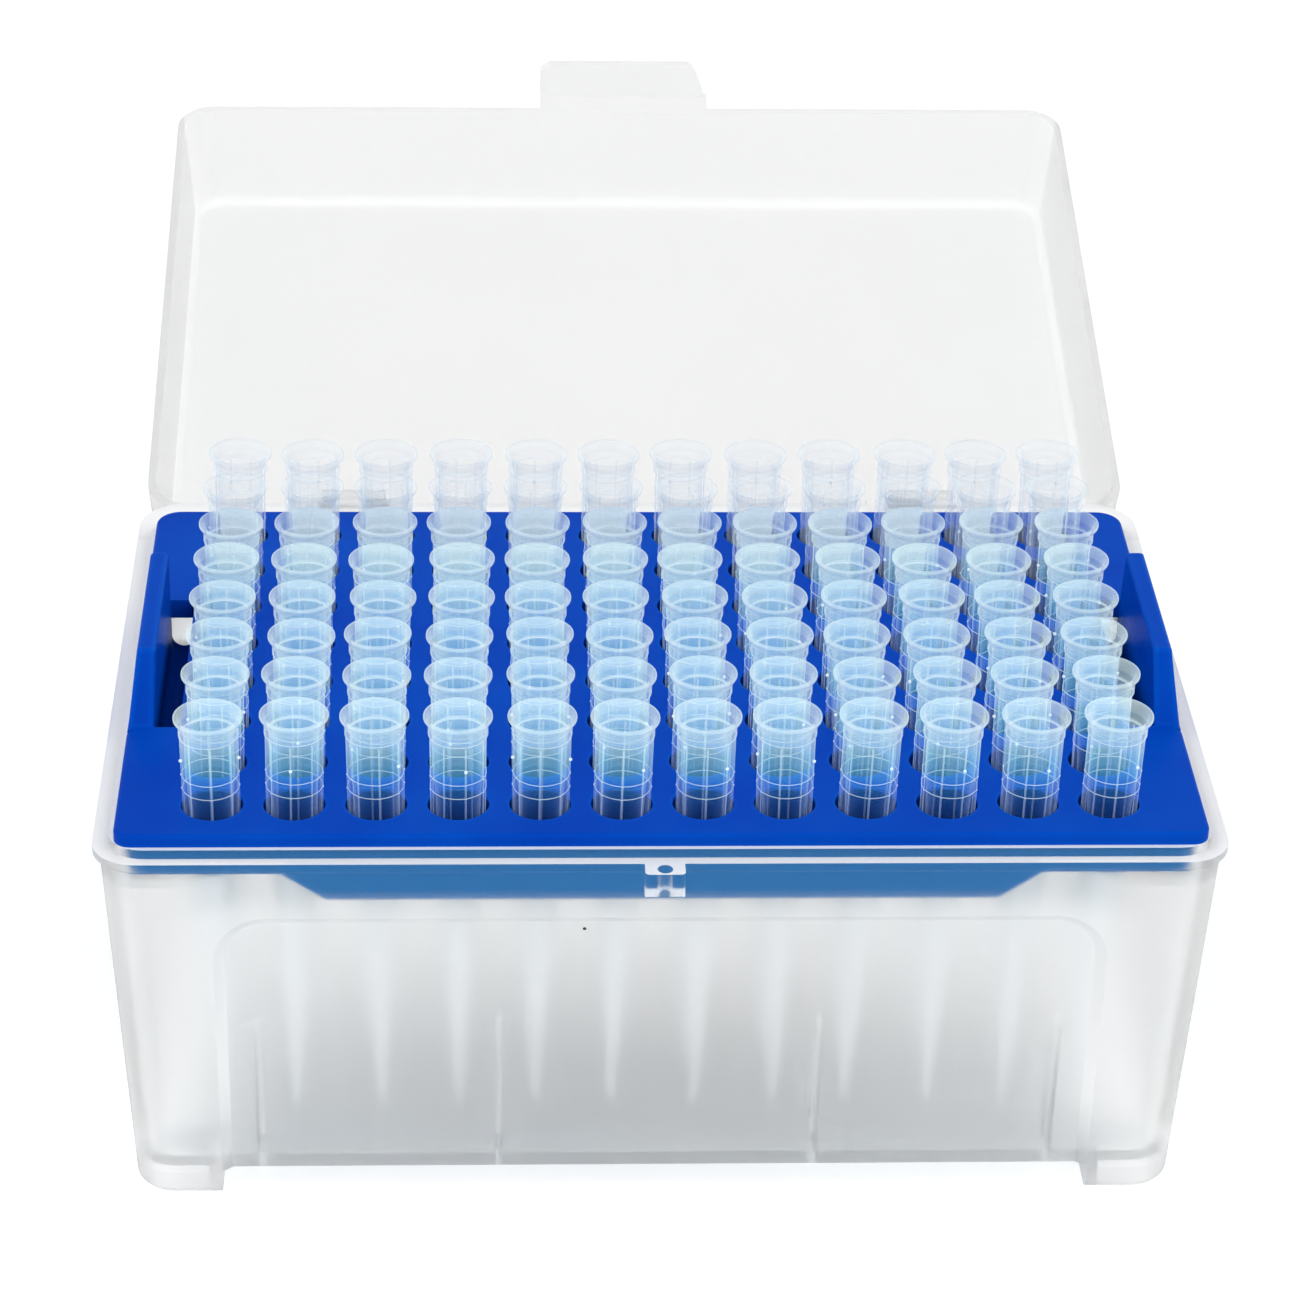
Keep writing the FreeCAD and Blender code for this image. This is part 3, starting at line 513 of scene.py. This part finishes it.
def blue_plastic():
    """Deep blue moulded plastic with faint flow clouds, a soft gloss and edges painted lighter as a painted
    glow.
    """
    material, tree, shader = new_material("deep_blue_rack_plastic")
    shader.inputs["Specular IOR Level"].default_value = RACK_GLOSS
    clouds = spread(tree, grain(tree, RACK_CLOUDS), 0, RACK_CLOUD_SHARE)
    body = mixed_colour(tree, clouds, RACK_BLUE, RACK_FLOW_AND_PAINTED_GLOW_BLUE)
    # painted shade inside the holes
    body = mixed_colour(tree, painted_shade_in_holes(tree), body, HOLE_PAINTED_SHADE_BLUE)
    # painted glow on the thin rim
    body = mixed_colour(tree, painted_glow_rim(tree), body, SKIRT_PAINTED_GLOW_BLUE)
    # painted glow: edges of the handles painted lighter blue
    glow = product(tree, rounded_edges(tree), above_plate(tree))
    tree.links.new(mixed_colour(tree, glow, body, RACK_FLOW_AND_PAINTED_GLOW_BLUE), shader.inputs["Base Color"])
    fine = grain(tree, RACK_GRAIN, detail=3.0)
    tree.links.new(spread(tree, fine, *RACK_ROUGHNESS), shader.inputs["Roughness"])
    bump(tree, shader, fine, RACK_BUMP_MM, 0.3)
    return material


# ---- clear plastic of the tips ----

def tip_plastic():
    """Thin clear polypropylene: a faint milkiness that is whiter near the lip, painted blue light from the
    rack low on the collar, painted highlights along the ribs, rings and steps, edges whiter partly from
    milk and partly as painted reflection, and a painted glow.
    """
    material, tree, shader = new_material("clear_tip_plastic")
    shader.inputs["IOR"].default_value = TIP_BEND
    _, y, z = place_parts(tree)
    # from the rack's plate up, the tint is painted blue light from the rack
    colour, milk = height_ramp(tree, TIP_MILK_AND_PAINTED_BLUE_BY_HEIGHT)
    # walls turning edge on whiten, partly as milk along the longer path and partly as painted reflection
    facing = add_node(tree, "ShaderNodeLayerWeight", None, Blend=0.5).outputs["Facing"]
    edge = worked(tree, "POWER", facing, TIP_EDGE_POWER)
    # painted highlights along the ribs, rings, steps and pips
    line = add_node(tree, "ShaderNodeAttribute", {"attribute_name": HIGHLIGHT_ATTRIBUTE}).outputs["Fac"]
    body = mixed_colour(tree, larger(tree, edge, line), colour, TIP_EDGE_AND_HIGHLIGHT_WHITE)
    at_back = ranged_mm(tree, y, TIP_BACK_MM)
    body = mixed_colour(tree, at_back, body, TIP_BACK_BLUE)
    for socket in ("Base Color", "Emission Color"):
        tree.links.new(body, shader.inputs[socket])
    # painted glow: the tips emit light in their own colour
    glow = ranged_mm(tree, z, TIP_PAINTED_GLOW_MM, TIP_PAINTED_GLOW_IN_RACK, TIP_PAINTED_GLOW)
    tree.links.new(glow, shader.inputs["Emission Strength"])
    milk = product(tree, milk, worked(tree, "MULTIPLY_ADD", at_back, TIP_BACK_MILK - 1.0, 1.0))
    line = product(tree, line, worked(tree, "MULTIPLY_ADD", at_back, -TIP_BACK_CALM, 1.0))
    stopped = worked(tree, "MULTIPLY_ADD", edge, TIP_EDGE_MILK, milk)
    stopped = worked(tree, "MULTIPLY_ADD", line, TIP_HIGHLIGHT_MILK, stopped)
    path = add_node(tree, "ShaderNodeLightPath")
    last = worked(tree, "GREATER_THAN", path.outputs["Transparent Depth"], TIP_WALLS_SEEN)
    tree.links.new(larger(tree, stopped, last), shader.inputs["Alpha"])
    tree.links.new(spread(tree, grain(tree, TIP_GRAIN), *TIP_ROUGHNESS), shader.inputs["Roughness"])
    lets_lamps_through(tree, shader, TIP_LAMP_SHARE)
    return material


def finish_node(name, material):
    """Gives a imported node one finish."""
    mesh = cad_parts[name].data
    mesh.materials.clear()
    mesh.materials.append(material)


# ---- ribbed tips ----

def collar_radius_mm(depth):
    """Plain outside radius of the collar, which narrows evenly from under the band to the shoulder."""
    share = (depth - COLLAR_START_MM) / (COLLAR_END_MM - COLLAR_START_MM)
    return COLLAR_START_RADIUS_MM + (COLLAR_END_RADIUS_MM - COLLAR_START_RADIUS_MM) * share


def tip_section():
    """Closed section of a tip: rows of radius, depth below the lip, share of rib, share of painted
    highlight.

    Outside, going down: a rounded lip, a hollow flare eased by half a cosine, the plain band, the
    ribbed collar with two fine rings, the shoulder and two cones. Inside, going up: two cones, a
    small ledge, the parallel bore and the widening mouth.
    """
    lip = [(3.55, 0.0, 0, 0.1), (3.7, 0.03, 0, 0.3), (3.78, 0.1, 0, 0.5), (3.8, 0.2, 0, 0.5),
           (3.8, 0.38, 0, 0.3), (3.77, 0.46, 0, 0.1)]
    steps = np.linspace(0, 1, 6)[1:]
    flare = [(3.3 + 0.235 * (1 + math.cos(math.pi * step ** 0.7)), 0.46 + 0.84 * step, 0, 0.3 * step)
             for step in steps]
    band = [(3.3, 1.5, 0, 0), (3.3, 2.3, 0, 0.1), (3.3, 2.38, 0, 0.7), (3.27, 2.46, 0, 0.7),
            (3.12, COLLAR_START_MM, 0, 0.3), (collar_radius_mm(2.55), 2.56, 0.2, 0)]
    collar = [(collar_radius_mm(2.8), 2.8, 1, 0)]
    for depth in RING_DEPTHS_MM:
        half = RING_WIDTH_MM / 2
        for offset, reach in ((-half, 0), (-half / 2, 1), (half / 2, 1), (half, 0)):
            radius = collar_radius_mm(depth + offset) + RING_REACH_MM * reach
            collar.append((radius, depth + offset, 1, reach))
    collar += [(collar_radius_mm(15.4), 15.4, 1, 0), (collar_radius_mm(15.65), 15.65, 0.5, 0),
               (2.92, COLLAR_END_MM, 0, 0)]
    cones = [(2.7, COLLAR_END_MM + 0.02, 0, 0), (1.45, 36.8, 0, 0), (0.45, 51.0, 0, 0), (0.22, 51.0, 0, 0)]
    inside = [(1.0, 36.8, 0, 0), (2.25, COLLAR_END_MM, 0, 0), (2.6, 8.15, 0, 0), (2.72, 8.0, 0, 0.3),
              (2.72, 7.8, 0, 0), (2.74, 2.25, 0, 0), (2.74, 2.1, 0, 0.35), (2.82, 1.95, 0, 0.35),
              (2.93, 1.8, 0, 0), (3.02, 0.9, 0, 0), (3.15, 0.45, 0, 0.1), (3.34, 0.12, 0, 0.2),
              (3.45, 0.02, 0, 0.1)]
    return np.array(lip + flare + band + collar + cones + inside)


def rib_turns():
    """Angles round a tip and how far each lies up a rib, 0 or 1, with plain steps between the ribs."""
    half = RIB_WIDTH_MM / 2 / RIB_RADIUS_MM
    pitch = math.tau / RIB_COUNT
    plain = np.linspace(half, pitch - half, PLAIN_STEPS + 1)[1:-1]
    sector = np.concatenate(([-half, -RIB_FLAT * half, RIB_FLAT * half, half], plain))
    lift = np.concatenate(([0, 1, 1, 0], np.zeros(len(plain))))
    angles = np.concatenate([sector + pitch * index for index in range(RIB_COUNT)])
    return angles, np.tile(lift, RIB_COUNT)


def tip_grid():
    """Points of one upright tip, in millimetres from the middle of its lip: section by angle.

    radius = section radius + rib reach * (share of rib on that row) * (lift at that angle)
    """
    section = tip_section()
    angles, lift = rib_turns()
    radius = section[:, 0, None] + RIB_REACH_MM * section[:, 2, None] * lift
    x = radius * np.cos(angles)
    y = radius * np.sin(angles)
    z = np.repeat(-section[:, 1, None], len(angles), axis=1)
    return np.stack((x, y, z), axis=-1)


def painted_highlights():
    """How much painted highlight each point of tip_grid carries on a rib, ring or step, 0 to 1."""
    section = tip_section()
    return np.maximum(RIB_PAINTED_HIGHLIGHT * np.outer(section[:, 2], rib_turns()[1]), section[:, 3, None])


def ring_faces(rows, turns, first):
    """Quads of a grid that closes on itself both ways, counted from vertex number first."""
    row, turn = np.meshgrid(np.arange(rows), np.arange(turns), indexing="ij")
    next_row, next_turn = (row + 1) % rows, (turn + 1) % turns
    corners = np.stack((row * turns + turn, next_row * turns + turn,
                        next_row * turns + next_turn, row * turns + next_turn), axis=-1)
    return corners.reshape(-1, 4) + first


def mesh_object(name, points, faces, material):
    """Object from an array of points and an array of quads, smooth except at sharp edges."""
    mesh = bpy.data.meshes.new(name)
    mesh.from_pydata(points.tolist(), [], faces.tolist())
    mesh.materials.append(material)
    mesh.shade_smooth()
    mesh.set_sharp_from_angle(angle=math.radians(SHARP_DEGREES))
    made = bpy.data.objects.new(name, mesh)
    bpy.context.scene.collection.objects.link(made)
    return made


def leaning(points_mm, chance):
    """A tip's points turned about its seat in the rack by a small lean, with a small shift."""
    way = chance.uniform(0, math.tau)
    lean = LEAN_LIMIT * math.sqrt(chance.uniform(0, 1))
    spin = chance.uniform(0, math.tau)
    axis = Vector((math.cos(way), math.sin(way), 0))
    mean = Matrix.Rotation(LEAN_ASIDE, 3, "Y") @ Matrix.Rotation(-LEAN_BACK, 3, "X")
    turn = np.array(mean @ Matrix.Rotation(lean, 3, axis) @ Matrix.Rotation(spin, 3, "Z"))
    seat = np.array((0, 0, -COLLAR_END_MM))
    shift = np.array((*chance.uniform(-SHIFT_LIMIT_MM, SHIFT_LIMIT_MM, 2), 0))
    return (points_mm - seat) @ turn.T + seat + shift


def pip_grid(side):
    """Points of a ball that stands out of a tip's collar: polar angle by turn, its poles tiny rings."""
    polar = np.linspace(PIP_POLE, math.pi - PIP_POLE, PIP_ROWS)[:, None]
    turns = np.linspace(0, math.tau, PIP_TURNS, endpoint=False)[None, :]
    ball = PIP_RADIUS_MM * np.stack((np.sin(polar) * np.cos(turns), np.sin(polar) * np.sin(turns),
                                     np.cos(polar) * np.ones_like(turns)), axis=-1)
    return ball + (side * (collar_radius_mm(PIP_DEPTH_MM) + PIP_OUT * PIP_RADIUS_MM), 0, -PIP_DEPTH_MM)


def whole_tip():
    """Points, quads and shares of painted highlight of one tip with its two pips."""
    parts = [(tip_grid(), painted_highlights())]
    parts += [(pip_grid(side), np.ones((PIP_ROWS, PIP_TURNS))) for side in (1, -1)]
    points, faces, lines = [], [], []
    first = 0
    for grid, line in parts:
        rows, turns = grid.shape[:2]
        points.append(grid.reshape(-1, 3))
        faces.append(ring_faces(rows, turns, first))
        lines.append(line.ravel())
        first += rows * turns
    return np.concatenate(points), np.concatenate(faces), np.concatenate(lines)


def ribbed_column(number, material, chance):
    """The eight tips of one column as one piece, each with its own turn and lean.

    The thin walls hardly dim the light between the other pieces, so the column casts no shadow and
    is left out of light that comes off matte faces.
    """
    node_name = "tips_column_%02d" % number
    low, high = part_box(node_name)
    rim = (high.x - low.x) / 2
    pitch = (high.y - low.y - 2 * rim) / (TIP_ROWS - 1)
    tip_points, tip_faces, lines = whole_tip()
    points, faces = [], []
    for row in range(TIP_ROWS):
        place = np.array(((low.x + high.x) / 2, low.y + rim + row * pitch, high.z + TIP_PROUD_MM * MM))
        points.append(place + MM * leaning(tip_points, chance))
        faces.append(tip_faces + row * len(tip_points))
    piece = mesh_object("ribbed_" + node_name, np.concatenate(points), np.concatenate(faces), material)
    attribute = piece.data.attributes.new(HIGHLIGHT_ATTRIBUTE, "FLOAT", "POINT")
    attribute.data.foreach_set("value", np.tile(lines, TIP_ROWS).astype(np.float32))
    piece.visible_diffuse = False
    piece.visible_shadow = False
    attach(piece, "base")
    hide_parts(node_name)


# ---- studio ----

def mirrored_or_through(tree, path):
    """1 for rays off a gloss or through a clear body, else 0."""
    return larger(tree, path.outputs["Is Glossy Ray"], path.outputs["Is Transmission Ray"])


def beyond_the_box(tree):
    """0 on the floor under the front of the box, rising to the back, and 1 at its ends and past it."""
    x, y, _ = place_parts(tree)
    return larger(tree, ranged_mm(tree, size(tree, x), UNDER_BOX_X_MM),
                  ranged_mm(tree, size(tree, y), UNDER_BOX_Y_MM), ranged_mm(tree, y, UNDER_BOX_BACK_MM))


def pale_floor():
    """Wide floor that reads white from afar and keeps the soft shadow of the box; seen through the box, it
    carries a painted shadow under the box's front.
    """
    material, tree, shader = new_material("pale_floor")
    shader.inputs["Roughness"].default_value = 0.9
    shader.inputs["Specular IOR Level"].default_value = 0.0
    shader.inputs["Emission Color"].default_value = WHITE
    path = add_node(tree, "ShaderNodeLightPath")
    seen_through = mirrored_or_through(tree, path)
    # painted shadow: the floor seen through the box turns darker under its front
    dim = product(tree, seen_through, ranged_mm(tree, place_parts(tree)[1], UNDER_FRONT_MM, 1.0, 0.0))
    tree.links.new(mixed_colour(tree, dim, FLOOR_SHADE, FLOOR_PAINTED_SHADOW_UNDER_BOX), shader.inputs["Base Color"])
    glow = larger(tree, product(tree, path.outputs["Is Camera Ray"], FLOOR_GLOW_IN_VIEW),
                  product(tree, seen_through, FLOOR_GLOW_UNDER_BOX))
    tree.links.new(glow, shader.inputs["Emission Strength"])
    even_white = add_node(tree, "ShaderNodeEmission", None, Color=WHITE, Strength=1.0)
    beyond = product(tree, seen_through, beyond_the_box(tree))
    mixed_shader(tree, beyond, shader.outputs["BSDF"], even_white.outputs["Emission"])
    corners = np.array([(-1, -1, 0), (1, -1, 0), (1, 1, 0), (-1, 1, 0)]) * FLOOR_HALF
    mesh_object("floor", corners, np.array([(0, 1, 2, 3)]), material)


def pale_world():
    """White surround: full white where it is seen, and a plain level where it lights the box."""
    world = bpy.data.worlds.new("studio")
    world.use_nodes = True
    tree = world.node_tree
    background = tree.nodes["Background"]
    background.inputs["Color"].default_value = WHITE
    path = add_node(tree, "ShaderNodeLightPath")
    seen = larger(tree, path.outputs["Is Camera Ray"], mirrored_or_through(tree, path))
    tree.links.new(ranged(tree, seen, (0.0, 1.0), WORLD_LEVEL, 1.0), background.inputs["Strength"])
    bpy.context.scene.world = world


def soft_lamp(name, place, width, watts, colour):
    """Square area lamp aimed at the middle of the tips."""
    lamp = bpy.data.objects.new(name, bpy.data.lights.new(name, "AREA"))
    lamp.data.size = width
    lamp.data.energy = watts
    lamp.data.color = colour
    turn = (Vector(place) - LAMP_TARGET).to_track_quat("Z", "Y").to_matrix().to_4x4()
    lamp.matrix_world = Matrix.Translation(place) @ turn
    bpy.context.scene.collection.objects.link(lamp)


def main():
    """The camera, the studio, and a finish for each piece of the box."""
    aim_camera()
    pale_world()
    for lamp in LAMPS:
        soft_lamp(*lamp)
    pale_floor()
    finish_node("base", base_plastic())
    finish_node("lid", lid_plastic())
    finish_node("rack", blue_plastic())
    clear = tip_plastic()
    chance = np.random.default_rng(CHANCE_SEED)
    for number in range(1, TIP_COLUMNS + 1):
        ribbed_column(number, clear, chance)
    bpy.context.scene.view_settings.view_transform = "Standard"
    bpy.context.scene.cycles.max_bounces = MOST_BOUNCES
    bpy.context.scene.cycles.diffuse_bounces = MOST_DIFFUSE_BOUNCES


main()
